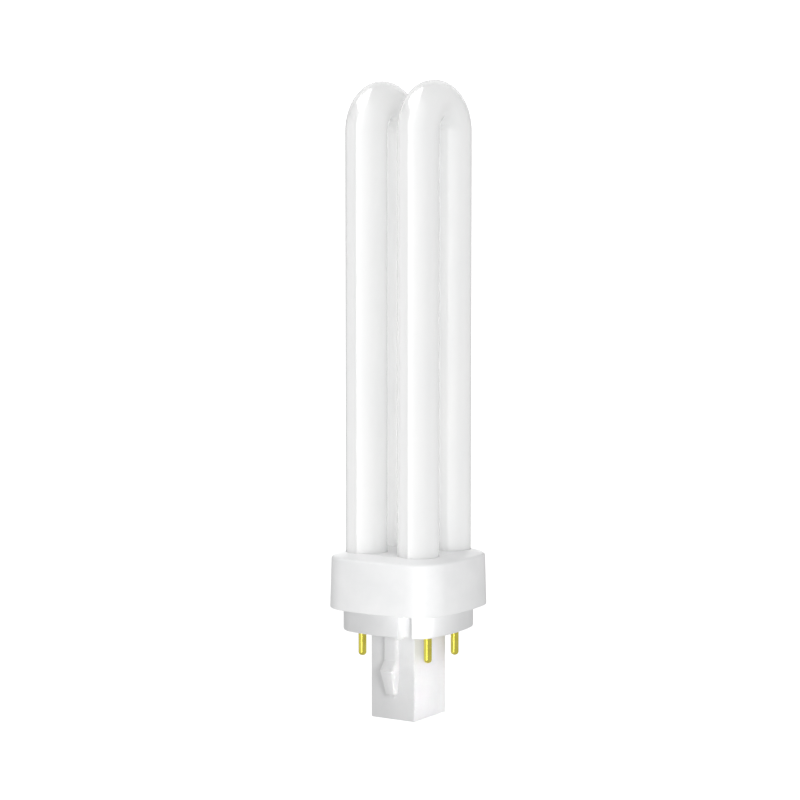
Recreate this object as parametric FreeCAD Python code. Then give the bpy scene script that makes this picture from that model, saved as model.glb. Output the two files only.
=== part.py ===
"""Plug-in compact fluorescent lamp: two U-bent glass tubes in a moulded four-pin base.

The lamp stands upright on the end of its plug post. The origin is at the middle of
that end, +Z runs up the lamp's axis, and the four contact pins stand beside the
post's -X and +X faces. All sizes are in millimetres.
"""

import FreeCAD
import Part

import math
import os

# Glass tube
TUBE_OD = 10.8             # outside diameter of the glass
LEG_PITCH = 15.8           # distance between neighbouring legs, both ways
GLASS_LENGTH = 121.7       # from the collar's crown to the top of the bends
BRIDGE_OD = 6.4            # neck that joins the two U tubes
BRIDGE_RISE = 7.0          # height of the neck's axis above the crown
LEG_DEPTH = 10.6           # glass below the crown, inside the collar
LEG_END_CHAMFER = 0.5      # melted edge at the closed end of a leg
PINCH_WIDTH = 6.4          # flattened seal below an electrode's leg
PINCH_THICKNESS = 2.4
PINCH_DROP = 3.2           # length of the seal below the leg's end

# Collar: the upper half of the base
COLLAR_HALF = 18.0         # half the width across the middle of two sides
COLLAR_CORNER = 9.2        # radius of the upright corners
COLLAR_BULGE = 62.0        # radius of the four gently curved sides
COLLAR_HEIGHT = 13.4       # upright side, from lower edge to rim
COLLAR_DRAFT = 0.35        # how much each side leans in over that height
COLLAR_WALL = 1.5
CROWN_RISE = 1.2           # height of the sloping top above the rim
CROWN_RUN = 3.9            # width of the slope, from rim to flat crown
ROOF_THICKNESS = 1.6
RIM_CHAMFER = 0.3          # flat that breaks the rim's edge
LEG_CLEARANCE = 0.1        # between a leg and its hole in the crown
CEMENT_DEPTH = 5.0         # plug of cement between the legs, below the roof

# Plug: the lower half of the base, with the plinth and the post
FLANGE_THICKNESS = 2.0     # plate that closes the collar from below
FLANGE_LIP = 0.8           # collar wall left outside the plate
FLANGE_CLEARANCE = 0.05    # between the plate and the collar
PLINTH_HALF = 14.7
PLINTH_CORNER = 5.6
PLINTH_BULGE = 46.0
PLINTH_HEIGHT = 6.1
PLINTH_WALL = 1.4
PLINTH_FLOOR = 2.0
POST_LENGTH = 23.0
POST_WIDTH = 13.4          # along X
POST_DEPTH = 15.4          # along Y
POST_CORNER = 0.7
POST_END_CHAMFER = 0.4
POST_WALL = 1.3
POST_END_WALL = 1.5

# Keyways in the plinth's -Y and +Y sides
KEY_WIDTH = 3.8
KEY_DEPTH = 3.3            # cut in from the middle of the side
KEY_OFFSET = 7.7           # middle of the keyway from the axis
KEY_WALL = 1.0             # skin round the keyway inside the plinth
KEY_LIP = 0.4              # how far that skin reaches below the plinth

# Latches on the post's -Y and +Y faces
LATCH_WIDTH = 4.0
LATCH_TOE_WIDTH = 3.0      # width at the lower end of the ramp
LATCH_STEM_PROUD = 1.8     # plain rib between the tooth and the plinth
LATCH_TOOTH_PROUD = 3.5    # highest line of the tooth
LATCH_TOE_PROUD = 1.4
LATCH_TOE_Z = 6.8
LATCH_TOOTH_Z = 13.3
LATCH_NECK_Z = 15.7        # where the tooth has run back into the rib
LATCH_CHAMFER = 0.5        # flats along the latch's outer edges

# Contact pins and lead wires
PIN_CIRCLE = 24.2          # diameter of the circle through the four pins
PIN_ANGLE = 33.6           # of a pin on that circle, from the X axis, in degrees
PIN_OD = 2.1
PIN_LENGTH = 7.2           # below the plinth
PIN_TIP_CHAMFER = 0.4
PIN_NECK_OD = 1.6          # thinner part that goes through the plinth's floor
PIN_CLEARANCE = 0.02       # between a pin's neck and its hole
WIRE_OD = 0.6
WIRE_PITCH = 2.4           # between the two wires of one seal
WIRE_STUB = 1.2            # straight end of a wire at the seal and above the pin

# Levels along the axis
PLINTH_Z = POST_LENGTH
FLOOR_Z = PLINTH_Z + PLINTH_FLOOR
COLLAR_Z = PLINTH_Z + PLINTH_HEIGHT
LEDGE_Z = COLLAR_Z + FLANGE_THICKNESS
RIM_Z = COLLAR_Z + COLLAR_HEIGHT
CROWN_Z = RIM_Z + CROWN_RISE
ROOF_Z = CROWN_Z - ROOF_THICKNESS
TOP_Z = CROWN_Z + GLASS_LENGTH
BEND_Z = TOP_Z - (LEG_PITCH + TUBE_OD) / 2
LEG_Z = CROWN_Z - LEG_DEPTH
SEAL_Z = LEG_Z - PINCH_DROP
PIN_TIP_Z = PLINTH_Z - PIN_LENGTH

UP = FreeCAD.Vector(0, 0, 1)
LEG = LEG_PITCH / 2
PIN_X = PIN_CIRCLE / 2 * math.cos(math.radians(PIN_ANGLE))
PIN_Y = PIN_CIRCLE / 2 * math.sin(math.radians(PIN_ANGLE))


def point(x, y, z=0.0):
    """A point in the lamp's frame."""
    return FreeCAD.Vector(x, y, z)


def polygon(points):
    """A closed face through the points, in order."""
    return Part.Face(Part.makePolygon(points + points[:1]))


def half_turn(shape):
    """A copy of the shape turned half round the lamp's axis."""
    copy = shape.copy()
    copy.rotate(point(0, 0), UP, 180)
    return copy


def soft_square(half, corner, bulge, z):
    """Closed outline of a square with curved sides that run smoothly into its corners."""
    side_centre = half - bulge
    reach = bulge - corner
    corner_centre = (side_centre + math.sqrt(2 * reach**2 - side_centre**2)) / 2
    join_x = side_centre + bulge * (corner_centre - side_centre) / reach
    join_y = bulge * corner_centre / reach
    tip = corner_centre + corner * math.sqrt(0.5)
    edges = []
    for turn in range(4):
        start = point(join_x, -join_y, z)
        middle = point(half, 0, z)
        join = point(join_x, join_y, z)
        edges.append(Part.Arc(start, middle, join).toShape())
        edges.append(Part.Arc(join, point(tip, tip, z), point(join_y, join_x, z)).toShape())
        for edge in edges[-2:]:
            edge.rotate(point(0, 0), UP, 90 * turn)
    return Part.Wire(edges)


def rounded_rectangle(width, depth, radius, z):
    """Closed outline of a rectangle along X and Y with rounded corners."""
    box = Part.makePlane(width, depth, point(-width / 2, -depth / 2, z)).extrude(UP)
    upright = [edge for edge in box.Edges if edge.BoundBox.ZLength > 0.5]
    rounded = box.makeFillet(radius, upright)
    return min(rounded.Faces, key=lambda face: face.CenterOfMass.z).OuterWire


def stacked(outlines):
    """Solid with straight walls from each outline up to the next, all of one kind."""
    bands = [Part.makeLoft([low, high], True, True) for low, high in zip(outlines, outlines[1:])]
    return bands[0].fuse(bands[1:]).removeSplitter()


def prism(outline, height):
    """Upright solid on a closed outline."""
    return Part.Face(outline).extrude(UP * height)


def leg_places():
    """Axes of the four legs."""
    return [(x, y) for x in (-LEG, LEG) for y in (-LEG, LEG)]


def pin_places():
    """Axes of the four contact pins, with the name of each corner."""
    return {
        "front_left": (-PIN_X, -PIN_Y),
        "front_right": (PIN_X, -PIN_Y),
        "rear_left": (-PIN_X, PIN_Y),
        "rear_right": (PIN_X, PIN_Y),
    }


def u_tube(x):
    """One glass U in the plane at x, its two legs joined by a half-round bend."""
    disc = Part.Face(Part.Wire(Part.makeCircle(TUBE_OD / 2, point(x, -LEG, BEND_Z), UP)))
    bend = disc.revolve(point(x, 0, BEND_Z), point(-1, 0), 180)
    legs = [leg_cylinder(x, y, 0, LEG_Z, BEND_Z) for y in (-LEG, LEG)]
    glass = bend.fuse(legs).removeSplitter()
    ends = [edge for edge in glass.Edges if edge.BoundBox.ZMax < LEG_Z + 1e-6]
    return glass.makeChamfer(LEG_END_CHAMFER, ends)


def pinch_seal(x, y):
    """Flattened seal under an electrode's leg, where the lead wires come out."""
    corner = point(x - PINCH_THICKNESS / 2, y - PINCH_WIDTH / 2, SEAL_Z)
    return Part.makeBox(PINCH_THICKNESS, PINCH_WIDTH, PINCH_DROP, corner)


def bridge():
    """Neck between the rear legs that makes one lamp of the two U tubes."""
    start = point(-LEG, LEG, CROWN_Z + BRIDGE_RISE)
    return Part.makeCylinder(BRIDGE_OD / 2, LEG_PITCH, start, point(1, 0))


def discharge_tube():
    """The sealed glass: two U tubes, the neck between them and the two seals."""
    seals = [pinch_seal(x, -LEG) for x in (-LEG, LEG)]
    glass = u_tube(-LEG).fuse([u_tube(LEG), bridge()] + seals)
    return glass.removeSplitter()


def collar_outline(inset, z):
    """Outline of the collar, moved in from its lower edge by the inset."""
    return soft_square(COLLAR_HALF - inset, COLLAR_CORNER - inset, COLLAR_BULGE - inset, z)


def collar_body():
    """Outside of the collar: drafted sides, a broken rim edge and a sloping top."""
    slope = CROWN_RISE / CROWN_RUN
    levels = [
        collar_outline(0, COLLAR_Z),
        collar_outline(COLLAR_DRAFT, RIM_Z - RIM_CHAMFER),
        collar_outline(COLLAR_DRAFT + RIM_CHAMFER, RIM_Z + RIM_CHAMFER * slope),
        collar_outline(COLLAR_DRAFT + CROWN_RUN, CROWN_Z),
    ]
    return stacked(levels)


def collar():
    """Upper half of the base: a drafted shell with a sloping top and four leg holes."""
    rebate = prism(collar_outline(FLANGE_LIP, COLLAR_Z), FLANGE_THICKNESS)
    hollow = prism(collar_outline(COLLAR_DRAFT + COLLAR_WALL, LEDGE_Z), ROOF_Z - LEDGE_Z)
    holes = [leg_cylinder(x, y, LEG_CLEARANCE, LEDGE_Z, TOP_Z) for x, y in leg_places()]
    return collar_body().cut([rebate, hollow] + holes)


def leg_cylinder(x, y, clearance, low, high):
    """Round space that a leg takes up, with a clearance, between two levels."""
    return Part.makeCylinder(TUBE_OD / 2 + clearance, high - low, point(x, y, low))


def cement():
    """Plug of cement under the roof, filling the space between the four legs."""
    corner = point(-LEG, -LEG, ROOF_Z - CEMENT_DEPTH)
    fill = Part.makeBox(LEG_PITCH, LEG_PITCH, CEMENT_DEPTH, corner)
    legs = [leg_cylinder(x, y, 0, COLLAR_Z, TOP_Z) for x, y in leg_places()]
    return fill.cut(legs)


def plinth_outline(inset, z):
    """Outline of the plinth, moved in by the inset."""
    return soft_square(PLINTH_HALF - inset, PLINTH_CORNER - inset, PLINTH_BULGE - inset, z)


def post_outline(inset, z):
    """Outline of the post, moved in by the inset."""
    width = POST_WIDTH - 2 * inset
    depth = POST_DEPTH - 2 * inset
    return rounded_rectangle(width, depth, POST_CORNER - inset, z)


def post_body():
    """Outside of the post, with a chamfer round its free end."""
    levels = [
        post_outline(POST_END_CHAMFER, 0),
        post_outline(0, POST_END_CHAMFER),
        post_outline(0, PLINTH_Z),
    ]
    return stacked(levels)


def post_hollow():
    """Square-cornered inside of the post, open to the plinth above."""
    width = POST_WIDTH - 2 * POST_WALL
    depth = POST_DEPTH - 2 * POST_WALL
    corner = point(-width / 2, -depth / 2, POST_END_WALL)
    return Part.makeBox(width, depth, FLOOR_Z - POST_END_WALL, corner)


def latch_section(x, sink):
    """Side outline of the +Y latch at one place across it, its front sunk by an amount."""
    face = POST_DEPTH / 2
    root = face - POST_WALL / 2
    front = [
        (LATCH_TOE_PROUD, LATCH_TOE_Z),
        (LATCH_TOOTH_PROUD, LATCH_TOOTH_Z),
        (LATCH_STEM_PROUD, LATCH_NECK_Z),
        (LATCH_STEM_PROUD, PLINTH_Z),
    ]
    points = [point(x, face + proud - sink, z) for proud, z in front]
    points = [point(x, root, LATCH_TOE_Z)] + points + [point(x, root, PLINTH_Z)]
    return Part.makePolygon(points + points[:1])


def latch():
    """Latch on the +Y face: a rib with broken edges that swells into a ramped tooth."""
    edge = LATCH_WIDTH / 2
    sections = [
        latch_section(-edge, LATCH_CHAMFER),
        latch_section(-edge + LATCH_CHAMFER, 0),
        latch_section(edge - LATCH_CHAMFER, 0),
        latch_section(edge, LATCH_CHAMFER),
    ]
    rib = Part.makeLoft(sections, True, True)
    toe = LATCH_TOE_WIDTH / 2
    front = [
        point(-toe, 0, LATCH_TOE_Z),
        point(toe, 0, LATCH_TOE_Z),
        point(edge, 0, LATCH_TOOTH_Z),
        point(edge, 0, PLINTH_Z),
        point(-edge, 0, PLINTH_Z),
        point(-edge, 0, LATCH_TOOTH_Z),
    ]
    return rib.common(polygon(front).extrude(point(0, POST_DEPTH)))


def key_block(skin, low, high):
    """Upright block at the +Y keyway, with a skin on its three inner sides."""
    inner = PLINTH_HALF - KEY_DEPTH - skin
    width = KEY_WIDTH + 2 * skin
    corner = point(-KEY_OFFSET - width / 2, inner, low)
    return Part.makeBox(width, PLINTH_HALF, high - low, corner)


def keyway_skin():
    """Wall round the +Y keyway, inside the plinth's outline and a little below it."""
    low = PLINTH_Z - KEY_LIP
    block = key_block(KEY_WALL, low, COLLAR_Z)
    return block.common(prism(plinth_outline(0, low), COLLAR_Z - low))


def pin_hole(x, y):
    """Hole in the plinth's floor for the neck of a contact pin."""
    radius = PIN_NECK_OD / 2 + PIN_CLEARANCE
    return Part.makeCylinder(radius, PLINTH_FLOOR, point(x, y, PLINTH_Z))


def plug():
    """Lower half of the base: flange, plinth and post moulded in one piece."""
    flange = prism(collar_outline(FLANGE_LIP + FLANGE_CLEARANCE, COLLAR_Z), FLANGE_THICKNESS)
    plinth = prism(plinth_outline(0, PLINTH_Z), PLINTH_HEIGHT)
    hollow = prism(plinth_outline(PLINTH_WALL, FLOOR_Z), LEDGE_Z - FLOOR_Z)
    skins = [keyway_skin(), half_turn(keyway_skin())]
    keyway = key_block(0, PLINTH_Z - KEY_LIP, COLLAR_Z)
    body = flange.fuse([plinth, post_body()]).cut([hollow, post_hollow()])
    body = body.fuse(skins + [latch(), half_turn(latch())])
    cuts = [keyway, half_turn(keyway)]
    cuts += [pin_hole(x, y) for x, y in pin_places().values()]
    return body.cut(cuts).removeSplitter()


def contact_pin(x, y):
    """Blunt-tipped pin with a shoulder under the plinth and a neck through its floor."""
    shank = Part.makeCylinder(PIN_OD / 2, PIN_LENGTH, point(0, 0, PIN_TIP_Z))
    tip = [edge for edge in shank.Edges if edge.BoundBox.ZMax < PIN_TIP_Z + 1e-6]
    shank = shank.makeChamfer(PIN_TIP_CHAMFER, tip)
    neck = Part.makeCylinder(PIN_NECK_OD / 2, PLINTH_FLOOR, point(0, 0, PLINTH_Z))
    return shank.fuse(neck).translate(point(x, y))


def lead_wire(pin_x, pin_y):
    """Wire from an electrode's seal down to the neck of one pin."""
    seal_x = math.copysign(LEG, pin_x)
    seal_y = math.copysign(WIRE_PITCH / 2, pin_y) - LEG
    points = [
        point(seal_x, seal_y, SEAL_Z),
        point(seal_x, seal_y, SEAL_Z - WIRE_STUB),
        point(pin_x, pin_y, FLOOR_Z + WIRE_STUB),
        point(pin_x, pin_y, FLOOR_Z),
    ]
    section = Part.Wire(Part.makeCircle(WIRE_OD / 2, points[0], UP))
    mitred = 1
    return Part.makePolygon(points).makePipeShell([section], True, False, mitred)


def main():
    """Build every piece and write one file for each."""
    pieces = {
        "discharge_tube": discharge_tube(),
        "collar": collar(),
        "cement": cement(),
        "base_plug": plug(),
    }
    for name, (x, y) in pin_places().items():
        pieces["contact_pin_" + name] = contact_pin(x, y)
        pieces["lead_wire_" + name] = lead_wire(x, y)
    os.makedirs("parts", exist_ok=True)
    for name, shape in pieces.items():
        shape.exportStep("parts/" + name + ".step")
        box = shape.BoundBox
        print(name, len(shape.Solids), shape.isValid(), round(shape.Volume, 2),
              [round(value, 2) for value in (box.XMin, box.XMax, box.YMin, box.YMax, box.ZMin, box.ZMax)])


main()
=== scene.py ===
"""Looks of a plug-in compact fluorescent lamp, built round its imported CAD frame.

Two white U-bent glass tubes stand in a moulded collar. Below it a plinth with keyways,
four brass pins and a latched post plug into the holder. Lengths are in metres.
"""

import logging
import math
from collections.abc import Callable, Iterator
from contextlib import contextmanager
from dataclasses import dataclass, field, replace
from enum import Enum

import bmesh
import bpy
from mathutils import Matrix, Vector


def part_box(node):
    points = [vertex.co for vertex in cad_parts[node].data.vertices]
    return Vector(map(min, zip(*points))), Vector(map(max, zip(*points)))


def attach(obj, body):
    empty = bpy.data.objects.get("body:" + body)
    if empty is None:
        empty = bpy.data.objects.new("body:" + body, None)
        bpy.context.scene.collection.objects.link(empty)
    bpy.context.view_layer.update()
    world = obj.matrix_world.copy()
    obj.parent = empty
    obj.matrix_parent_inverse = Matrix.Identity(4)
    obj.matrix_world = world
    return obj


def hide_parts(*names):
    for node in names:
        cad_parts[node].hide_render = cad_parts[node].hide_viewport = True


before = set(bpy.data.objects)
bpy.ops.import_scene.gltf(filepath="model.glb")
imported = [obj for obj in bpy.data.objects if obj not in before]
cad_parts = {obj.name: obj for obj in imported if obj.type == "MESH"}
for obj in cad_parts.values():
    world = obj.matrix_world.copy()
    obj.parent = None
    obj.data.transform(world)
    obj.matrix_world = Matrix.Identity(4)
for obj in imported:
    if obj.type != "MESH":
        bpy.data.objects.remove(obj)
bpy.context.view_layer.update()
LOG = logging.getLogger("lamp")

MM = 0.001
NEAR = 0.002 * MM  # how close two places count as the same
PAST = 1.0 * MM  # how far a cutting shape reaches past what it cuts
FLANGE = 2.0 * MM  # thickness of the plug's flange, which closes the collar
FLOOR = 2.0 * MM  # thickness of the plinth's floor, which holds the pins
BODY = "root"
NOISE_SPAN = (0.3, 0.7)  # values that noise mostly stays between

Piece = bpy.types.Object
Material = bpy.types.Material
Node = bpy.types.Node
Place = tuple[float, float, float]
Colour = tuple[float, float, float]


class Element(Enum):
    """Kind of mesh element that is picked for an operator."""

    EDGE = "EDGE"
    FACE = "FACE"


class Join(Enum):
    """How one closed shape is combined with another."""

    ADD = "UNION"
    CUT = "DIFFERENCE"
    KEEP_SHARED = "INTERSECT"


class Facing(Enum):
    """Turn that brings a flat ring's axis onto an axis of the lamp."""

    UP = (0.0, 0.0, 0.0)
    ALONG_X = (0.0, math.pi / 2, 0.0)


class Slot(Enum):
    """Material slots of the lamp's record."""

    GLASS = "phosphor_glass"
    PLASTIC = "white_plastic"
    BRASS = "pin_brass"
    NICKEL = "lead_nickel"
    CEMENT = "capping_cement"


# Modelling by hand

def clear_selection() -> None:
    """Deselect every object."""
    bpy.ops.object.select_all(action="DESELECT")


def choose(piece: Piece) -> None:
    """Select one object alone and make it the active one."""
    clear_selection()
    piece.select_set(True)
    bpy.context.view_layer.objects.active = piece


def settle(name: str) -> Piece:
    """Name the object just added and put its place into its mesh.

    Args:
        name: Name for the object and its mesh.

    Returns:
        The object, at the origin.
    """
    piece = bpy.context.active_object
    piece.name = name
    piece.data.name = name
    bpy.ops.object.transform_apply(location=True, rotation=True, scale=True)
    return piece


def add_ring(name: str, radius: float, place: Place, steps: int, facing: Facing = Facing.UP) -> Piece:
    """Add an open ring of edges.

    Args:
        name: Name for the object.
        radius: Radius of the ring.
        place: Its centre.
        steps: Number of its edges.
        facing: Axis that the ring is square to.

    Returns:
        The new object.
    """
    clear_selection()
    bpy.ops.mesh.primitive_circle_add(
        vertices=steps, radius=radius, fill_type="NOTHING", location=place, rotation=facing.value)
    return settle(name)


def add_block(name: str, low: Place, high: Place) -> Piece:
    """Add a block between two corners.

    Args:
        name: Name for the object.
        low: Lowest corner.
        high: Highest corner.

    Returns:
        The new object.
    """
    clear_selection()
    middle = [(a + b) / 2 for a, b in zip(low, high)]
    bpy.ops.mesh.primitive_cube_add(size=1, location=middle, scale=[b - a for a, b in zip(low, high)])
    return settle(name)


@contextmanager
def editing(piece: Piece) -> Iterator[None]:
    """Open one mesh for editing, all of it selected and nothing else.

    Args:
        piece: The object to edit.
    """
    choose(piece)
    bpy.ops.object.mode_set(mode="EDIT")
    bpy.ops.mesh.select_mode(type="VERT")
    bpy.ops.mesh.select_all(action="SELECT")
    yield
    bpy.ops.object.mode_set(mode="OBJECT")


def pick(kind: Element, test: Callable[[bmesh.types.BMEdge | bmesh.types.BMFace], bool]) -> None:
    """Select the edges or faces of the mesh being edited that pass a test.

    Args:
        kind: Edges or faces.
        test: Says whether one element is wanted.
    """
    bpy.ops.mesh.select_mode(type=kind.value)
    bpy.ops.mesh.select_all(action="DESELECT")
    mesh = bpy.context.edit_object.data
    edit = bmesh.from_edit_mesh(mesh)
    for element in filter(test, edit.edges if kind is Element.EDGE else edit.faces):
        element.select_set(True)
    bmesh.update_edit_mesh(mesh)


def at_level(element: bmesh.types.BMEdge | bmesh.types.BMFace, z: float) -> bool:
    """True if every corner of an edge or face is at one level."""
    return all(abs(vert.co.z - z) < NEAR for vert in element.verts)


def extrude(x: float, y: float, z: float) -> None:
    """Extrude what is selected by a distance along each axis."""
    bpy.ops.mesh.extrude_region_move(TRANSFORM_OT_translate={"value": (x, y, z)})


def resize(x: float, y: float, z: float, centre: Place) -> None:
    """Scale what is selected about a point."""
    bpy.ops.transform.resize(value=(x, y, z), center_override=centre)


def inset(width: float, rise: float = 0.0) -> None:
    """Inset the selected faces, and lift them along their normal."""
    bpy.ops.mesh.inset(thickness=width, depth=rise)


def round_edges(radius: float, steps: int) -> None:
    """Round the selected edges over a number of steps."""
    bpy.ops.mesh.bevel(offset=radius, segments=steps, profile=0.5, affect="EDGES", clamp_overlap=True)


def close_rings(levels: list[float]) -> None:
    """Fill the open rings of edges at some levels.

    Args:
        levels: Heights of the rings.
    """
    for level in levels:
        pick(Element.EDGE, lambda edge: edge.is_boundary and at_level(edge, level))
        bpy.ops.mesh.fill_holes(sides=0)


def face_outwards() -> None:
    """Merge doubled corners of the mesh being edited and turn its faces outwards."""
    bpy.ops.mesh.select_all(action="SELECT")
    bpy.ops.mesh.remove_doubles(threshold=NEAR / 4)
    bpy.ops.mesh.normals_make_consistent(inside=False)


def combine(piece: Piece, tool: Piece, join: Join) -> None:
    """Combine a piece with a tool shape, which is used up.

    Args:
        piece: The object that stays.
        tool: The object that is added, cut out or intersected.
        join: Which of these is done.
    """
    modifier = piece.modifiers.new("combine", "BOOLEAN")
    modifier.operation = join.value
    modifier.solver = "EXACT"
    modifier.object = tool
    choose(piece)
    bpy.ops.object.modifier_apply(modifier=modifier.name)
    bpy.data.objects.remove(tool)


def add_rod(name: str, radius: float, place: Place, length: float, steps: int) -> Piece:
    """Add an upright closed rod.

    Args:
        name: Name for the object.
        radius: Its radius.
        place: Middle of its lower end.
        length: Its length.
        steps: Edges round it.

    Returns:
        The new object.
    """
    rod = add_ring(name, radius, place, steps)
    with editing(rod):
        extrude(0, 0, length)
        close_rings([place[2], place[2] + length])
        face_outwards()
    return rod


def turned(piece: Piece, angle: float) -> Piece:
    """Turn a piece about the lamp's axis.

    Args:
        piece: The object to turn.
        angle: Angle to turn it.

    Returns:
        The same object, with its turn in its mesh.
    """
    choose(piece)
    piece.rotation_euler = (0, 0, angle)
    return settle(piece.name)


def copy_at(piece: Piece, name: str, place: Place) -> Piece:
    """Copy a piece with its own mesh to another place.

    Args:
        piece: The object to copy.
        name: Name for the copy.
        place: How far it is moved along each axis.

    Returns:
        The copy, with its place in its mesh.
    """
    choose(piece)
    bpy.ops.object.duplicate()
    bpy.context.active_object.location = place
    return settle(name)


def pin_nodes() -> list[str]:
    """Names of the CAD nodes of the four pins."""
    return sorted(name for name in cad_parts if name.startswith("contact_pin"))


PIN_NAMES = tuple("brass_" + node for node in pin_nodes())
GLASS = ("white_glass",)
COLLAR = ("moulded_collar",)
PLUG = ("plug_body",)


def hand_over(piece: Piece, node: str, material: Material, crease: float) -> None:
    """Finish a piece: smooth it, dress it and let it stand for a CAD node.

    Args:
        piece: The finished shape.
        node: CAD node that it replaces.
        material: Its material.
        crease: Angle in degrees where edges turn sharp.
    """
    choose(piece)
    bpy.ops.object.shade_smooth_by_angle(angle=math.radians(crease))
    piece.data.materials.clear()
    piece.data.materials.append(material)
    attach(piece, BODY)
    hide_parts(node)
    LOG.info("%s: %d faces", piece.name, len(piece.data.polygons))


@dataclass(frozen=True)
class SoftSquare:
    """Square outline whose bulging sides run smoothly into round corners.

    Attributes:
        half: Half the width across the middle of two sides.
        corner: Radius of the corners.
        bulge: Radius of the sides.
        side_steps: Edges along a side.
        corner_steps: Edges round a corner.
    """

    half: float
    corner: float
    bulge: float
    side_steps: int = 16
    corner_steps: int = 18

    def smaller(self, amount: float) -> "SoftSquare":
        """The outline moved in by an amount all round."""
        return SoftSquare(self.half - amount, self.corner - amount, self.bulge - amount)

    def trace(self, name: str, z: float) -> Piece:
        """Draw the outline as one flat face, by spinning a corner point through its eight arcs.

        Args:
            name: Name for the object.
            z: Level of the face.

        Returns:
            The new object.
        """
        side_centre = self.half - self.bulge
        reach = self.bulge - self.corner
        corner_centre = (side_centre + math.sqrt(2 * reach**2 - side_centre**2)) / 2
        lean = math.atan2(corner_centre, corner_centre - side_centre)
        start = (side_centre + self.bulge * math.cos(lean), -self.bulge * math.sin(lean), z)
        clear_selection()
        bpy.ops.mesh.primitive_plane_add(size=MM, location=start)
        piece = settle(name)
        with editing(piece):
            bpy.ops.mesh.merge(type="CENTER")
            arcs = [(side_centre, 0, 2 * lean, self.side_steps),
                    (corner_centre, corner_centre, math.pi / 2 - 2 * lean, self.corner_steps)]
            for _ in range(4):
                for x, y, angle, steps in arcs:
                    bpy.ops.mesh.spin(steps=steps, angle=angle, center=(x, y, z), axis=(0, 0, -1))
                arcs = [(-y, x, angle, steps) for x, y, angle, steps in arcs]
            bpy.ops.mesh.select_all(action="SELECT")
            bpy.ops.mesh.remove_doubles(threshold=NEAR)
            bpy.ops.mesh.edge_face_add()
        return piece

    def prism(self, name: str, low: float, high: float) -> Piece:
        """An upright closed block on the outline.

        Args:
            name: Name for the object.
            low: Level of its underside.
            high: Level of its top.

        Returns:
            The new object.
        """
        piece = self.trace(name, low)
        with editing(piece):
            extrude(0, 0, high - low)
            face_outwards()
        return piece


# Finishes

class NodeGraph:
    """One material's nodes, laid down in order and joined by name."""

    def __init__(self, name: str) -> None:
        """Start a material with one shader and its output."""
        self.material = bpy.data.materials.new(name)
        self.material.use_nodes = True
        self.tree = self.material.node_tree
        self.tree.nodes.clear()
        self.shader = self.add("ShaderNodeBsdfPrincipled")
        output = self.add("ShaderNodeOutputMaterial")
        self.join(self.shader, "BSDF", output, "Surface")
        self.coordinates = self.add("ShaderNodeTexCoord")

    def add(self, kind: str, **values: float | Colour) -> Node:
        """Add a node.

        Args:
            kind: Blender's name for the node.
            **values: Values for its inputs, with _ for a space in the input's name.

        Returns:
            The node.
        """
        node = self.tree.nodes.new(kind)
        for name, value in values.items():
            node.inputs[name.replace("_", " ")].default_value = value
        return node

    def join(self, source: Node, output: str, target: Node, socket: str) -> None:
        """Link one node's output to another's input."""
        self.tree.links.new(source.outputs[output], target.inputs[socket])

    def shade(self, **values: float | Colour) -> None:
        """Set inputs of the shader that are the same all over."""
        for name, value in values.items():
            self.shader.inputs[name.replace("_", " ")].default_value = value

    def noise(self, scale: float, detail: float, stretch: Place = (1, 1, 1)) -> Node:
        """Noise in the lamp's own space.

        Args:
            scale: Cells per metre.
            detail: Octaves of finer noise.
            stretch: Scale along each axis before the noise.

        Returns:
            The noise node.
        """
        node = self.add("ShaderNodeTexNoise", Scale=scale, Detail=detail, Roughness=0.55)
        mapping = self.add("ShaderNodeMapping", Scale=stretch)
        self.join(self.coordinates, "Object", mapping, "Vector")
        self.join(mapping, "Vector", node, "Vector")
        return node

    def tint(self, source: Node, low: Colour, high: Colour) -> None:
        """Colour the shader between two tones by a texture's value.

        Args:
            source: Texture node.
            low: Tone where it is dark.
            high: Tone where it is bright.
        """
        ramp = self.add("ShaderNodeValToRGB")
        for stop, position, tone in zip(ramp.color_ramp.elements, NOISE_SPAN, (low, high)):
            stop.position = position
            stop.color = (*tone, 1)
        self.join(source, "Fac", ramp, "Fac")
        self.join(ramp, "Color", self.shader, "Base Color")

    def gloss(self, source: Node, low: float, high: float) -> None:
        """Vary the shader's roughness between two values by a texture's value.

        Args:
            source: Texture node.
            low: Roughness where it is dark.
            high: Roughness where it is bright.
        """
        dark, pale = NOISE_SPAN
        spread = self.add("ShaderNodeMapRange", From_Min=dark, From_Max=pale, To_Min=low, To_Max=high)
        self.join(source, "Fac", spread, "Value")
        self.join(spread, "Result", self.shader, "Roughness")

    def relief(self, source: Node, depth: float, strength: float) -> Node:
        """Raise the surface by a texture's value.

        Args:
            source: Texture node.
            depth: Height from dark to bright.
            strength: Share of that height to show.

        Returns:
            The bump node.
        """
        bump = self.add("ShaderNodeBump", Distance=depth, Strength=strength)
        self.join(source, "Fac", bump, "Height")
        self.join(bump, "Normal", self.shader, "Normal")
        return bump


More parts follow.
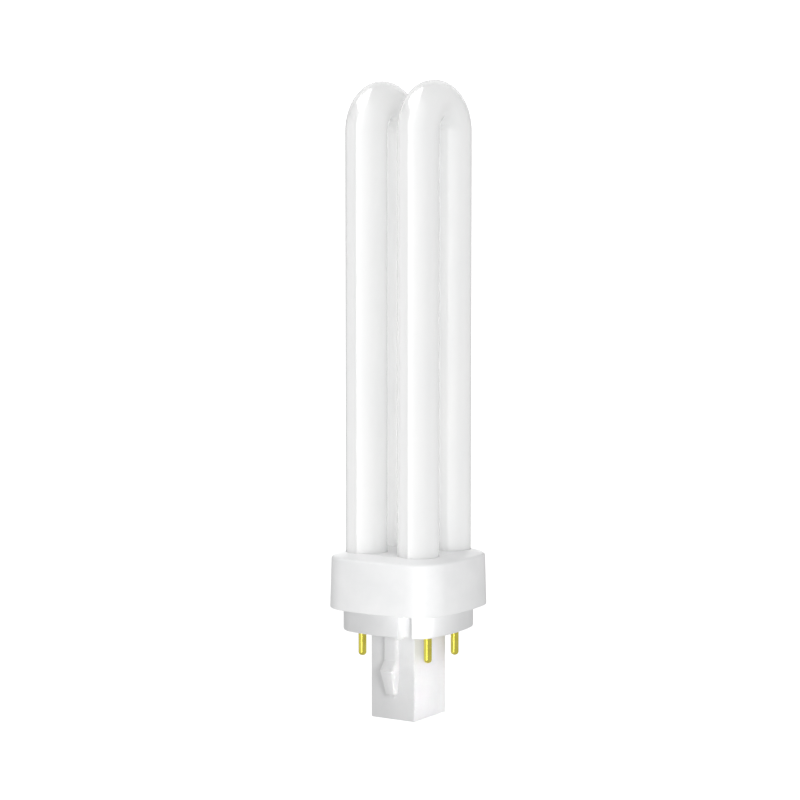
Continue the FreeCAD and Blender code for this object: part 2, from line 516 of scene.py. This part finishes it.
@dataclass(frozen=True)
class PhosphorGlass:
    """Clear drawn glass over an even white powder coat.

    Attributes:
        thin: Tone where the powder is thinnest.
        thick: Tone where it is thickest.
        gloss: Roughness of the glass skin.
        depth: How deep light enters the powder and the tube.
    """

    thin: Colour = (0.89, 0.895, 0.895)
    thick: Colour = (0.92, 0.92, 0.915)
    gloss: float = 0.05
    depth: float = 5 * MM

    def material(self) -> Material:
        """The finished material."""
        graph = NodeGraph(Slot.GLASS.value)
        graph.tint(graph.noise(scale=90, detail=4, stretch=(1, 1, 0.35)), self.thin, self.thick)
        draw_lines = graph.noise(scale=420, detail=2, stretch=(1, 1, 0.03))
        bump = graph.relief(draw_lines, depth=0.05 * MM, strength=0.04)
        graph.join(bump, "Normal", graph.shader, "Coat Normal")
        graph.shade(Roughness=0.45, Coat_Weight=1.0, Coat_Roughness=self.gloss, Coat_IOR=1.5,
                    Subsurface_Weight=1.0, Subsurface_Radius=(1, 1, 1), Subsurface_Scale=self.depth)
        return graph.material


@dataclass(frozen=True)
class MouldedPlastic:
    """Satin white plastic with a fine moulded grain.

    Attributes:
        shade_tone: Tone of the faint darker clouds.
        tone: Main tone.
    """

    shade_tone: Colour = (0.80, 0.805, 0.81)
    tone: Colour = (0.85, 0.852, 0.855)

    def material(self) -> Material:
        """The finished material."""
        graph = NodeGraph(Slot.PLASTIC.value)
        clouds = graph.noise(scale=140, detail=3)
        graph.tint(clouds, self.shade_tone, self.tone)
        graph.gloss(clouds, low=0.34, high=0.44)
        graph.relief(graph.noise(scale=3800, detail=2), depth=0.02 * MM, strength=0.25)
        graph.shade(Specular_IOR_Level=0.45)
        return graph.material


@dataclass(frozen=True)
class TurnedBrass:
    """Bright brass with fine turning lines and a little tarnish.

    Attributes:
        tarnish: Tone of the duller patches.
        bright: Tone of the clean metal.
    """

    tarnish: Colour = (0.84, 0.74, 0.11)
    bright: Colour = (0.90, 0.81, 0.15)

    def material(self) -> Material:
        """The finished material."""
        graph = NodeGraph(Slot.BRASS.value)
        patches = graph.noise(scale=700, detail=3)
        graph.tint(patches, self.tarnish, self.bright)
        graph.gloss(patches, low=0.10, high=0.14)
        lines = graph.add("ShaderNodeTexWave", Scale=1900, Distortion=1.2, Detail=1)
        lines.bands_direction = "Z"
        graph.join(graph.coordinates, "Object", lines, "Vector")
        graph.relief(lines, depth=0.006 * MM, strength=0.05)
        graph.shade(Metallic=1.0)
        return graph.material


@dataclass(frozen=True)
class DrawnNickel:
    """Dull grey lead wire.

    Attributes:
        dull: Tone of the oxidised stretches.
        clean: Tone of the clean metal.
    """

    dull: Colour = (0.48, 0.46, 0.43)
    clean: Colour = (0.66, 0.64, 0.60)

    def material(self) -> Material:
        """The finished material."""
        graph = NodeGraph(Slot.NICKEL.value)
        stretches = graph.noise(scale=900, detail=2)
        graph.tint(stretches, self.dull, self.clean)
        graph.gloss(stretches, low=0.28, high=0.42)
        graph.shade(Metallic=1.0)
        return graph.material


@dataclass(frozen=True)
class CappingCement:
    """Matt cream cement with a gritty surface.

    Attributes:
        grit: Tone of the darker grains.
        paste: Main tone.
    """

    grit: Colour = (0.70, 0.67, 0.60)
    paste: Colour = (0.83, 0.81, 0.75)

    def material(self) -> Material:
        """The finished material."""
        graph = NodeGraph(Slot.CEMENT.value)
        grains = graph.noise(scale=1600, detail=5)
        graph.tint(grains, self.grit, self.paste)
        graph.relief(grains, depth=0.15 * MM, strength=0.5)
        graph.shade(Roughness=0.85)
        return graph.material


@dataclass(frozen=True)
class StudioPaint:
    """Matt white paint of the studio, with some light of its own.

    Attributes:
        name: Name for the material.
        glow: Strength of that light.
        dark: Tone of its darker patches.
        pale: Tone of its paler patches.
    """

    name: str
    glow: float
    dark: Colour = (0.24, 0.24, 0.24)
    pale: Colour = (0.26, 0.26, 0.26)

    def material(self) -> Material:
        """The finished material."""
        graph = NodeGraph(self.name)
        graph.tint(graph.noise(scale=3, detail=2), self.dark, self.pale)
        graph.shade(Roughness=0.9, Specular_IOR_Level=0.1, Emission_Color=(1, 1, 1, 1),
                    Emission_Strength=self.glow)
        return graph.material


# The lamp's sub-assemblies

@dataclass
class DischargeTube:
    """The white glass: two U tubes joined by a neck and closed inside the collar.

    Attributes:
        diameter: Outside diameter of the glass.
        neck_waist: Diameter of the neck at its middle.
        neck_flare: Growth of the neck's radius towards the legs.
        neck_rise: Height of the neck's axis above the crown.
        neck_end: Distance of the neck's ends from the legs' axes.
        seal_drop: Length of the flattened seals under the front legs.
        seal_width: Width of a seal along Y.
        seal_thickness: Thickness of a seal along X.
        seal_round: Rounding of a seal's edges.
        end_round: Rounding at the closed ends.
        ring_steps: Edges round the glass.
        bend_steps: Steps round the half-turn at the top.
        neck_ring_steps: Edges round the neck.
        neck_steps: Steps along each half of the neck.
        end_steps: Steps round the edge of a closed end.
        seal_steps: Steps round a seal's edges.
        crease: Angle in degrees where edges turn sharp.
        finish: The glass's look.
    """

    diameter: float = 10.8 * MM
    neck_waist: float = 6.0 * MM
    neck_flare: float = 1.4 * MM
    neck_rise: float = 7.0 * MM
    neck_end: float = 1.8 * MM
    seal_drop: float = 3.2 * MM
    seal_width: float = 6.4 * MM
    seal_thickness: float = 2.4 * MM
    seal_round: float = 0.5 * MM
    end_round: float = 1.2 * MM
    ring_steps: int = 96
    bend_steps: int = 72
    neck_ring_steps: int = 64
    neck_steps: int = 10
    end_steps: int = 5
    seal_steps: int = 4
    crease: float = 40
    finish: PhosphorGlass = field(default_factory=PhosphorGlass)

    def __post_init__(self) -> None:
        """Take the glass's place from the frame."""
        low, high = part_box("discharge_tube")
        self.radius = self.diameter / 2
        self.leg = high.x - self.radius
        self.bend = high.z - self.leg - self.radius
        self.seal_end = low.z
        self.leg_end = low.z + self.seal_drop
        self.neck_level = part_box("collar")[1].z + self.neck_rise

    def build_u(self, x: float) -> Piece:
        """Bend one tube: up the front leg, round half a turn and down the rear leg.

        Args:
            x: Plane of the bend.

        Returns:
            The tube, closed at both ends.
        """
        piece = add_ring("u_tube", self.radius, (x, -self.leg, self.leg_end), self.ring_steps)
        runs = [self.leg_end, self.neck_level - self.radius, self.neck_level + self.radius, self.bend]
        with editing(piece):
            for start, end in zip(runs, runs[1:]):
                extrude(0, 0, end - start)
            bpy.ops.mesh.spin(
                steps=self.bend_steps, angle=math.pi, center=(x, 0, self.bend), axis=(1, 0, 0))
            runs.reverse()
            for start, end in zip(runs, runs[1:]):
                extrude(0, 0, end - start)
            close_rings([self.leg_end])
            face_outwards()
            pick(Element.EDGE, lambda edge: at_level(edge, self.leg_end))
            round_edges(self.end_round, self.end_steps)
        return piece

    def build_neck(self) -> Piece:
        """Draw out the waisted neck between the rear legs.

        Returns:
            The neck, closed at both ends.
        """
        reach = self.leg - self.neck_end
        stops = [reach * step / self.neck_steps for step in range(-self.neck_steps, self.neck_steps + 1)]
        radii = [self.neck_waist / 2 + self.neck_flare * (stop / reach) ** 2 for stop in stops]
        start = (-reach, self.leg, self.neck_level)
        piece = add_ring("neck", radii[0], start, self.neck_ring_steps, Facing.ALONG_X)
        with editing(piece):
            for index in range(1, len(stops)):
                extrude(stops[index] - stops[index - 1], 0, 0)
                growth = radii[index] / radii[index - 1]
                resize(1, growth, growth, (stops[index], self.leg, self.neck_level))
            pick(Element.EDGE, lambda edge: edge.is_boundary)
            bpy.ops.mesh.fill_holes(sides=0)
            face_outwards()
        return piece

    def build_seal(self, x: float) -> Piece:
        """Flatten the seal under one front leg.

        Args:
            x: Plane of the leg.

        Returns:
            The seal, reaching up into the leg.
        """
        half_x = self.seal_thickness / 2
        half_y = self.seal_width / 2
        top = self.leg_end + self.end_round
        piece = add_block("seal", (x - half_x, -self.leg - half_y, self.seal_end),
                          (x + half_x, -self.leg + half_y, top))
        with editing(piece):
            pick(Element.EDGE, lambda edge: not at_level(edge, top))
            round_edges(self.seal_round, self.seal_steps)
        return piece

    def build(self) -> None:
        """Make the glass in one piece and dress it."""
        glass = self.build_u(-self.leg)
        parts = [self.build_u(self.leg), self.build_neck()]
        parts += [self.build_seal(x) for x in (-self.leg, self.leg)]
        for part in parts:
            combine(glass, part, Join.ADD)
        glass.name = "white_glass"
        hand_over(glass, "discharge_tube", self.finish.material(), self.crease)


@dataclass
class Collar:
    """Upper half of the base: a drafted shell with a sloping top that the glass stands in.

    Attributes:
        corner: Radius of the upright corners.
        bulge: Radius of the four sides.
        draft: How much each side leans in.
        crown_rise: Height of the sloping top.
        crown_run: Width of the slope.
        rim_round: Rounding of the rim.
        foot_round: Rounding of the lower edge.
        lip: Wall left outside the plug's flange.
        flange: Thickness of that flange.
        wall: Wall above the flange.
        roof: Thickness of the roof.
        leg_hole: Diameter of the holes for the glass.
        leg_clearance: Gap between a hole and the glass.
        hole_steps: Edges round a hole.
        round_steps: Steps round a rounded edge.
        crease: Angle in degrees where edges turn sharp.
        finish: The plastic's look.
    """

    corner: float = 9.2 * MM
    bulge: float = 62.0 * MM
    draft: float = 0.35 * MM
    crown_rise: float = 1.2 * MM
    crown_run: float = 3.9 * MM
    rim_round: float = 0.6 * MM
    foot_round: float = 0.18 * MM
    lip: float = 0.8 * MM
    flange: float = FLANGE
    wall: float = 1.5 * MM
    roof: float = 1.6 * MM
    leg_hole: float = 11.0 * MM
    leg_clearance: float = 0.1 * MM
    hole_steps: int = 96
    round_steps: int = 8
    crease: float = 14
    finish: MouldedPlastic = field(default_factory=MouldedPlastic)

    def __post_init__(self) -> None:
        """Take the collar's place from the frame."""
        low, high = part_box("collar")
        self.low = low.z
        self.crown = high.z
        self.rim = high.z - self.crown_rise
        self.outline = SoftSquare(high.x, self.corner, self.bulge)

    def build_shell(self) -> Piece:
        """Raise the sides, slope the top and hollow the underside.

        Returns:
            The shell before its holes.
        """
        piece = self.outline.trace("collar_shell", self.low)
        with editing(piece):
            extrude(0, 0, self.rim - self.low)
            share = 1 - self.draft / self.outline.half
            resize(share, share, 1, (0, 0, self.rim))
            face_outwards()
            pick(Element.FACE, lambda face: at_level(face, self.rim))
            inset(self.crown_run, self.crown_rise)
            pick(Element.EDGE, lambda edge: at_level(edge, self.rim))
            round_edges(self.rim_round, self.round_steps)
            pick(Element.EDGE, lambda edge: at_level(edge, self.low))
            round_edges(self.foot_round, self.round_steps)
            pick(Element.FACE, lambda face: at_level(face, self.low))
            inset(self.lip - self.foot_round)
            extrude(0, 0, self.flange)
            inset(self.draft + self.wall - self.lip)
            extrude(0, 0, self.crown - self.roof - self.low - self.flange)
            face_outwards()
        return piece

    def build(self) -> None:
        """Make the collar with its four leg holes and dress it."""
        shell = self.build_shell()
        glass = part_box("discharge_tube")[1].x
        leg = glass + self.leg_clearance - self.leg_hole / 2
        deep = self.crown - self.low + self.roof
        for x in (-leg, leg):
            for y in (-leg, leg):
                hole = add_rod("leg_hole", self.leg_hole / 2, (x, y, self.low), deep, self.hole_steps)
                combine(shell, hole, Join.CUT)
        shell.name = "moulded_collar"
        hand_over(shell, "collar", self.finish.material(), self.crease)


@dataclass(frozen=True)
class LatchSection:
    """Cross-section of a latch at one level.

    Attributes:
        level: Height above the post's end.
        width: Width along X.
        proud: How far it stands out of the post's face.
    """

    level: float
    width: float
    proud: float


@dataclass
class BasePlug:
    """Lower half of the base: flange, plinth with two keyways, and the latched post.

    Attributes:
        corner: Radius of the plinth's upright corners.
        bulge: Radius of its sides.
        half: Half the plinth's width.
        flange: Thickness of the flange above the plinth.
        flange_clearance: Gap between the flange and the collar.
        plinth_height: Height of the plinth.
        plinth_round: Rounding of the plinth's lower edge.
        plinth_steps: Steps round that edge.
        wall: Wall of the plinth.
        floor: Thickness of its floor.
        post_width: Post along X.
        post_depth: Post along Y.
        post_wall: Wall of the post.
        post_round: Rounding of the post's upright edges.
        key_width: Width of a keyway.
        key_depth: Depth of a keyway.
        key_offset: Middle of a keyway from the axis.
        key_skin: Wall round a keyway.
        key_lip: How far the lip of a keyway's inner wall reaches below the plinth.
        key_lip_width: Width of that lip.
        key_lip_inset: How far its faces lie inside the plinth's.
        pin_hole: Diameter of the holes for the pins' necks.
        hole_steps: Edges round such a hole.
        latch_round: Rounding of a latch's outer edges.
        latch: Toe, tooth and neck of a latch, from the bottom up.
        round_steps: Steps round an edge of the post or a latch.
        crease: Angle in degrees where edges turn sharp.
        finish: The plastic's look.
    """

    corner: float = 5.6 * MM
    bulge: float = 46.0 * MM
    half: float = 14.7 * MM
    flange: float = FLANGE
    flange_clearance: float = 0.05 * MM
    plinth_height: float = 6.1 * MM
    plinth_round: float = 0.6 * MM
    plinth_steps: int = 6
    wall: float = 1.4 * MM
    floor: float = FLOOR
    post_width: float = 13.4 * MM
    post_depth: float = 15.4 * MM
    post_wall: float = 1.3 * MM
    post_round: float = 0.35 * MM
    key_width: float = 3.8 * MM
    key_depth: float = 3.3 * MM
    key_offset: float = 7.7 * MM
    key_skin: float = 1.0 * MM
    key_lip: float = 0.5 * MM
    key_lip_width: float = 0.6 * MM
    key_lip_inset: float = 0.05 * MM
    pin_hole: float = 1.64 * MM
    hole_steps: int = 48
    latch_round: float = 0.5 * MM
    latch: tuple[LatchSection, ...] = (
        LatchSection(6.8 * MM, 3.0 * MM, 1.4 * MM),
        LatchSection(13.3 * MM, 4.0 * MM, 3.5 * MM),
        LatchSection(15.7 * MM, 4.0 * MM, 1.4 * MM),
    )
    round_steps: int = 5
    crease: float = 24
    finish: MouldedPlastic = field(default_factory=MouldedPlastic)

    def __post_init__(self) -> None:
        """Take the plug's levels from the frame."""
        low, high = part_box("base_plug")
        self.end = low.z
        self.top = high.z
        self.ledge = high.z - self.flange
        self.under = self.ledge - self.plinth_height
        self.outline = SoftSquare(self.half, self.corner, self.bulge)

    def build_plinth(self) -> Piece:
        """Mould the plinth and the flange that closes the collar.

        Returns:
            Both in one solid block.
        """
        collar = Collar()
        fit = collar.lip + self.flange_clearance
        plinth = self.outline.prism("plinth", self.under, self.ledge + self.flange / 2)
        with editing(plinth):
            pick(Element.EDGE, lambda edge: at_level(edge, self.under))
            round_edges(self.plinth_round, self.plinth_steps)
        flange = collar.outline.smaller(fit).prism("flange", self.ledge, self.top)
        combine(plinth, flange, Join.ADD)
        return plinth

    def build_post(self) -> Piece:
        """Mould the post with softened edges.

        Returns:
            The solid post, reaching up into the plinth.
        """
        half_x = self.post_width / 2
        half_y = self.post_depth / 2
        top = self.under + self.floor / 2
        post = add_block("post", (-half_x, -half_y, self.end), (half_x, half_y, top))
        with editing(post):
            pick(Element.EDGE, lambda edge: not at_level(edge, top))
            round_edges(self.post_round, self.round_steps)
        return post

    def build_latch(self) -> Piece:
        """Draw up the latch on the +Y face: toe, ramp, tooth and stem.

        Returns:
            The latch, rooted in the post's wall.
        """
        face = self.post_depth / 2
        root = face - self.post_wall / 2
        sections = [*self.latch, replace(self.latch[-1], level=self.under + self.floor / 2)]
        deep = [face + section.proud - root for section in sections]
        toe, tooth = sections[:2]
        half = toe.width / 2
        latch = add_block("latch", (-half, root, toe.level), (half, root + deep[0], tooth.level))
        with editing(latch):
            pick(Element.FACE, lambda face: at_level(face, tooth.level))
            for index in range(1, len(sections)):
                before, section = sections[index - 1], sections[index]
                if index > 1:
                    extrude(0, 0, section.level - before.level)
                wider, deeper = section.width / before.width, deep[index] / deep[index - 1]
                resize(wider, deeper, 1, (0, root, section.level))
            face_outwards()
            pick(Element.EDGE, self.is_latch_edge)
            round_edges(self.latch_round, self.round_steps)
        return latch

    def is_latch_edge(self, edge: bmesh.types.BMEdge) -> bool:
        """True for the outer edges at either side of the latch."""
        first, second = (vert.co for vert in edge.verts)
        outside = min(first.y, second.y) > self.post_depth / 2
        return outside and first.z != second.z and first.x * second.x > 0

    def build_keyway(self, skin: float, low: float, high: float) -> Piece:
        """Block at the +Y keyway, with a skin on its three inner sides.

        Args:
            skin: Thickness of that skin.
            low: Level of the block's underside.
            high: Level of its top.

        Returns:
            The block, reaching out of the plinth.
        """
        inner = self.half - self.key_depth - skin
        width = self.key_width + 2 * skin
        left = -self.key_offset - width / 2
        return add_block("keyway", (left, inner, low), (left + width, 2 * self.half, high))

    def build_keyway_lip(self) -> Piece:
        """Lip of the +Y keyway's wall, which reaches below the plinth.

        Returns:
            The lip, rooted in the plinth and still without the keyway in it.
        """
        low = self.under - self.key_lip
        middle = -self.key_offset
        side = middle + self.key_width / 2 + self.key_lip_width
        inner = self.half - self.key_depth + self.key_lip_inset
        lip = add_block("lip", (middle, inner, low), (side, 2 * self.half, self.under + self.floor / 2))
        outline = self.outline.smaller(self.key_lip_inset)
        combine(lip, outline.prism("outline", low - PAST, self.ledge), Join.KEEP_SHARED)
        return lip

    def hollow_out(self, plug: Piece) -> None:
        """Hollow the plinth and the post, and leave the walls of the keyways.

        Args:
            plug: The solid plug.
        """
        floor = self.under + self.floor
        inside = self.outline.smaller(self.wall).prism("plinth_hollow", floor, self.top + PAST)
        for turn in (0, math.pi):
            wall = self.build_keyway(self.key_skin, self.under, self.top + 2 * PAST)
            combine(inside, turned(wall, turn), Join.CUT)
        combine(plug, inside, Join.CUT)
        half_x = self.post_width / 2 - self.post_wall
        half_y = self.post_depth / 2 - self.post_wall
        low = (-half_x, -half_y, self.end + self.post_wall)
        combine(plug, add_block("post_hollow", low, (half_x, half_y, floor + PAST)), Join.CUT)

    def drill(self, plug: Piece) -> None:
        """Drill the plinth's floor for the necks of the pins.

        Args:
            plug: The hollow plug.
        """
        deep = self.floor + 2 * PAST
        for node in pin_nodes():
            low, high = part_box(node)
            place = ((low.x + high.x) / 2, (low.y + high.y) / 2, self.under - PAST)
            hole = add_rod("pin_hole", self.pin_hole / 2, place, deep, self.hole_steps)
            combine(plug, hole, Join.CUT)

    def build(self) -> None:
        """Make the plug in one piece and dress it."""
        plug = self.build_plinth()
        combine(plug, self.build_post(), Join.ADD)
        self.hollow_out(plug)
        for turn in (0, math.pi):
            combine(plug, turned(self.build_latch(), turn), Join.ADD)
            combine(plug, turned(self.build_keyway_lip(), turn), Join.ADD)
            keyway = self.build_keyway(0, self.under - PAST, self.ledge)
            combine(plug, turned(keyway, turn), Join.CUT)
        self.drill(plug)
        plug.name = "plug_body"
        hand_over(plug, "base_plug", self.finish.material(), self.crease)


@dataclass
class ContactPins:
    """The four brass pins under the plinth.

    Attributes:
        tip_round: Rounding of the free end.
        neck: Diameter of the part inside the plinth's floor.
        floor: Thickness of that floor.
        steps: Edges round a pin.
        tip_steps: Steps round the free end's edge.
        crease: Angle in degrees where edges turn sharp.
        finish: The metal's look.
    """

    tip_round: float = 0.9 * MM
    neck: float = 1.6 * MM
    floor: float = FLOOR
    steps: int = 48
    tip_steps: int = 10
    crease: float = 40
    finish: TurnedBrass = field(default_factory=TurnedBrass)

    def build(self) -> None:
        """Turn one pin, copy it to each place and dress the copies."""
        nodes = pin_nodes()
        low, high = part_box(nodes[0])
        radius = (high.x - low.x) / 2
        shoulder = high.z - self.floor
        pin = add_ring("pin", radius, (0, 0, low.z), self.steps)
        with editing(pin):
            bpy.ops.mesh.edge_face_add()
            extrude(0, 0, shoulder - low.z)
            inset(radius - self.neck / 2)
            extrude(0, 0, self.floor)
            face_outwards()
            pick(Element.EDGE, lambda edge: at_level(edge, low.z))
            round_edges(self.tip_round, self.tip_steps)
        material = self.finish.material()
        for node in nodes:
            corner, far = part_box(node)
            place = ((corner.x + far.x) / 2, (corner.y + far.y) / 2, 0)
            hand_over(copy_at(pin, "brass_" + node, place), node, material, self.crease)
        bpy.data.objects.remove(pin)


@dataclass
class InnerParts:
    """Lead wires and cement inside the base, which keep their CAD shapes.

    Attributes:
        wire: The wires' look.
        cement: The cement's look.
    """

    wire: DrawnNickel = field(default_factory=DrawnNickel)
    cement: CappingCement = field(default_factory=CappingCement)

    def dress(self) -> None:
        """Give the inner nodes their materials."""
        nickel = self.wire.material()
        paste = self.cement.material()
        for name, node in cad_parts.items():
            if name.startswith("lead_wire") or name == "cement":
                node.data.materials.clear()
                node.data.materials.append(paste if name == "cement" else nickel)
                LOG.info("%s: dressed", name)


# The studio

class Role(Enum):
    """What a studio light does for the pieces that it is hung for."""

    SOFTBOX = "lights them and shows as a reflection"
    FILL = "lights them without a reflection"
    PANEL = "shows only as a reflection"


@dataclass(frozen=True)
class StudioLight:
    """One soft studio light that faces the lamp and stays out of the picture.

    Attributes:
        name: Name for the light.
        role: What it does.
        pieces: Pieces that it lights.
        stand: Its direction in degrees, 0 at -Y and 90 at +X, its distance from the
            lamp's axis and its height above the floor.
        size: Width and height of the lit face.
        watts: Its power.
        aim: Height on the lamp's axis that it faces.
        spread: Angle of its beam, in degrees.
        shadows: Whether pieces cast shadows in it.
        fall: How fast it grows dark towards its right-hand end, 0 where it is even.
        aside: How far it and its beam are shifted to the right.
    """

    name: str
    role: Role
    pieces: tuple[str, ...]
    stand: Place
    size: tuple[float, float]
    watts: float
    aim: float = 0.1
    spread: float = 180
    shadows: bool = True
    fall: float = 0.0
    aside: float = 0.0

    def place(self) -> None:
        """Hang the light and turn it to the lamp."""
        azimuth, distance, height = self.stand
        turn = math.radians(azimuth)
        data = bpy.data.lights.new(self.name, "AREA")
        data.shape = "RECTANGLE"
        data.size, data.size_y = self.size
        data.energy = self.watts
        data.spread = math.radians(self.spread)
        data.use_shadow = self.shadows
        if self.fall:
            self.grade(data)
        light = bpy.data.objects.new(self.name, data)
        across, along = math.cos(turn), math.sin(turn)
        target = Vector((across * self.aside, along * self.aside, self.aim))
        away = Vector((along * distance, -across * distance, height - self.aim))
        light.location = target + away
        light.rotation_euler = (-away).to_track_quat("-Z", "Y").to_euler()
        light.visible_camera = False
        light.visible_glossy = self.role is not Role.FILL
        light.visible_diffuse = self.role is not Role.PANEL
        bpy.context.scene.collection.objects.link(light)
        lit = bpy.data.collections.new(self.name + "_lights")
        for name in self.pieces:
            lit.objects.link(bpy.data.objects[name])
        light.light_linking.receiver_collection = lit

    def grade(self, data: bpy.types.AreaLight) -> None:
        """Let the lit face grow dark from left to right.

        Args:
            data: The light's data.
        """
        data.use_nodes = True
        tree = data.node_tree
        place = tree.nodes.new("ShaderNodeNewGeometry")
        across = tree.nodes.new("ShaderNodeSeparateXYZ")
        tree.links.new(place.outputs["Parametric"], across.inputs["Vector"])
        left = tree.nodes.new("ShaderNodeMath")
        left.operation = "SUBTRACT"
        left.inputs[0].default_value = 1
        tree.links.new(across.outputs["X"], left.inputs[1])
        curve = tree.nodes.new("ShaderNodeMath")
        curve.operation = "POWER"
        curve.inputs[1].default_value = self.fall
        tree.links.new(left.outputs["Value"], curve.inputs[0])
        tree.links.new(curve.outputs["Value"], tree.nodes["Emission"].inputs["Strength"])


@dataclass
class Studio:
    """White floor, soft lights and the camera at the photograph's angle.

    Attributes:
        azimuth: Camera's direction from the lamp, in degrees.
        distance: Camera's distance from the lamp's axis.
        height: Camera's height above the floor.
        pitch: How far the camera looks down, in degrees.
        sidestep: Camera's place to the right of the axis.
        lens: Focal length in millimetres on a sensor of 36.
        floor_size: Radius of the floor.
        floor_steps: Edges round the floor.
        sheet_drop: Depth of the bounce sheet under the floor.
        bounce: Light that comes back from that sheet.
        world: Brightness of the white surroundings.
        lights: The lights, each hung for some of the pieces.
    """

    azimuth: float = 32.55
    distance: float = 0.600
    height: float = 0.1329
    pitch: float = 4.76
    sidestep: float = -2.256 * MM
    lens: float = 104.12
    floor_size: float = 6.0
    floor_steps: int = 96
    sheet_drop: float = 0.3
    bounce: float = 0.61
    world: float = 0.52
    lights: tuple[StudioLight, ...] = (
        StudioLight("glass_panel", Role.PANEL, GLASS, (30, 0.30, 0.35), (0.86, 0.80), 10.3,
                    aim=0.35, fall=1.5),
        StudioLight("glass_sky_panel", Role.PANEL, GLASS, (-57.5, 0.23, 0.61), (0.5, 0.36), 2.8, aim=0.16),
        StudioLight("glass_back_panel", Role.PANEL, GLASS, (212.5, 0.6, 0.55), (1.0, 0.6), 0.8, aim=0.2),
        StudioLight("glass_left_fill", Role.FILL, GLASS, (-57.5, 0.9, 0.10), (0.5, 0.5), 0.55),
        StudioLight("glass_left_panel", Role.PANEL, GLASS, (-70, 0.6, 0.10), (0.7, 0.5), 0.80),
        StudioLight("glass_front_fill", Role.FILL, GLASS, (32.5, 0.9, 0.10), (0.5, 0.5), 1.75,
                    shadows=False),
        StudioLight("glass_right_fill", Role.FILL, GLASS, (122.5, 0.9, 0.10), (0.5, 0.5), 1.1),
        StudioLight("glass_back_fill", Role.FILL, GLASS, (212.5, 0.9, 0.10), (0.5, 0.5), 1.2,
                    shadows=False),
        StudioLight("glass_top_fill", Role.FILL, GLASS, (0, 0.08, 0.65), (0.3, 0.3), 0.55, shadows=False),
        StudioLight("glass_foot_left", Role.FILL, GLASS, (-15, 0.08, 0.035), (0.03, 0.02), 0.0010,
                    aim=0.045, shadows=False),
        StudioLight("glass_foot_right", Role.FILL, GLASS, (80, 0.08, 0.035), (0.03, 0.02), 0.0020,
                    aim=0.045, shadows=False),
        StudioLight("crown_softbox", Role.SOFTBOX, COLLAR, (-75, 0.35, 0.45), (0.30, 0.30), 0.52,
                    aim=0.04),
        StudioLight("high_softbox", Role.SOFTBOX, COLLAR, (45, 0.55, 0.55), (0.25, 0.25), 1.08, aim=0.03),
        StudioLight("right_softbox", Role.SOFTBOX, COLLAR, (46, 0.9, 0.30), (0.5, 0.7), 0.6),
        StudioLight("collar_corner_light", Role.SOFTBOX, COLLAR, (34, 0.14, 0.037), (0.05, 0.03), 0.056,
                    aim=0.037),
        StudioLight("plug_corner_light", Role.SOFTBOX, PLUG, (42, 0.05, 0.026), (0.015, 0.015), 0.0072,
                    aim=0.026),
        StudioLight("keyway_light", Role.SOFTBOX, PLUG, (40, 0.027, 0.027), (0.003, 0.003), 0.00009,
                    aim=0.027, spread=60),
        StudioLight("post_beam", Role.SOFTBOX, PLUG, (88, 0.15, 0.008), (0.034, 0.021), 0.00080,
                    aim=0.008, spread=5, aside=-0.006),
        StudioLight("back_softbox", Role.SOFTBOX, COLLAR + PLUG, (212.5, 0.9, 0.25), (0.5, 0.7), 2.0),
        StudioLight("pin_strip", Role.SOFTBOX, PIN_NAMES, (10, 0.30, -0.05), (0.045, 0.12), 0.085,
                    aim=-0.05, shadows=False),
        StudioLight("pin_panel", Role.SOFTBOX, PIN_NAMES, (-40, 0.30, -0.05), (0.25, 0.12), 0.030,
                    aim=-0.05, shadows=False),
    )

    def build_camera(self) -> None:
        """Put up the camera and make it the scene's."""
        turn = math.radians(self.azimuth)
        data = bpy.data.cameras.new("camera")
        data.sensor_width = 36
        data.lens = self.lens
        data.clip_start = 0.01
        camera = bpy.data.objects.new("camera", data)
        across, along = math.cos(turn), math.sin(turn)
        camera.location = (along * self.distance + across * self.sidestep,
                           -across * self.distance + along * self.sidestep, self.height)
        camera.rotation_euler = (math.pi / 2 - math.radians(self.pitch), 0, turn)
        bpy.context.scene.collection.objects.link(camera)
        bpy.context.scene.camera = camera

    def build_floor(self) -> None:
        """Lay the pale floor, stand a white wall round it and hang a dimmer sheet under it."""
        levels = {"floor": 0, "wall": 0, "bounce_sheet": -self.sheet_drop}
        rings = [add_ring(name, self.floor_size, (0, 0, z), self.floor_steps) for name, z in levels.items()]
        floor, wall, sheet = rings
        for flat in (floor, sheet):
            with editing(flat):
                bpy.ops.mesh.edge_face_add()
        with editing(wall):
            extrude(0, 0, self.floor_size)
        backdrop = StudioPaint("studio_white", glow=1.0).material()
        for seen in (floor, wall):
            seen.data.materials.append(backdrop)
            seen.visible_diffuse = False
            seen.visible_glossy = False
            seen.visible_shadow = False
        sheet.data.materials.append(StudioPaint("studio_bounce", glow=self.bounce).material())
        sheet.visible_camera = False
        sheet.visible_glossy = False

    def build_world(self) -> None:
        """Surround the scene with even white light."""
        world = bpy.data.worlds.new("white_tent")
        world.use_nodes = True
        shade = world.node_tree.nodes["Background"]
        shade.inputs["Color"].default_value = (1, 1, 1, 1)
        shade.inputs["Strength"].default_value = self.world
        bpy.context.scene.world = world
        bpy.context.scene.view_settings.view_transform = "Standard"

    def build(self) -> None:
        """Set up the whole studio."""
        self.build_camera()
        self.build_floor()
        self.build_world()
        for light in self.lights:
            light.place()


def main() -> None:
    """Build and dress every sub-assembly."""
    logging.basicConfig(level=logging.INFO, format="%(name)s: %(message)s")
    DischargeTube().build()
    Collar().build()
    BasePlug().build()
    ContactPins().build()
    InnerParts().dress()
    Studio().build()


if __name__ == "__main__":
    main()
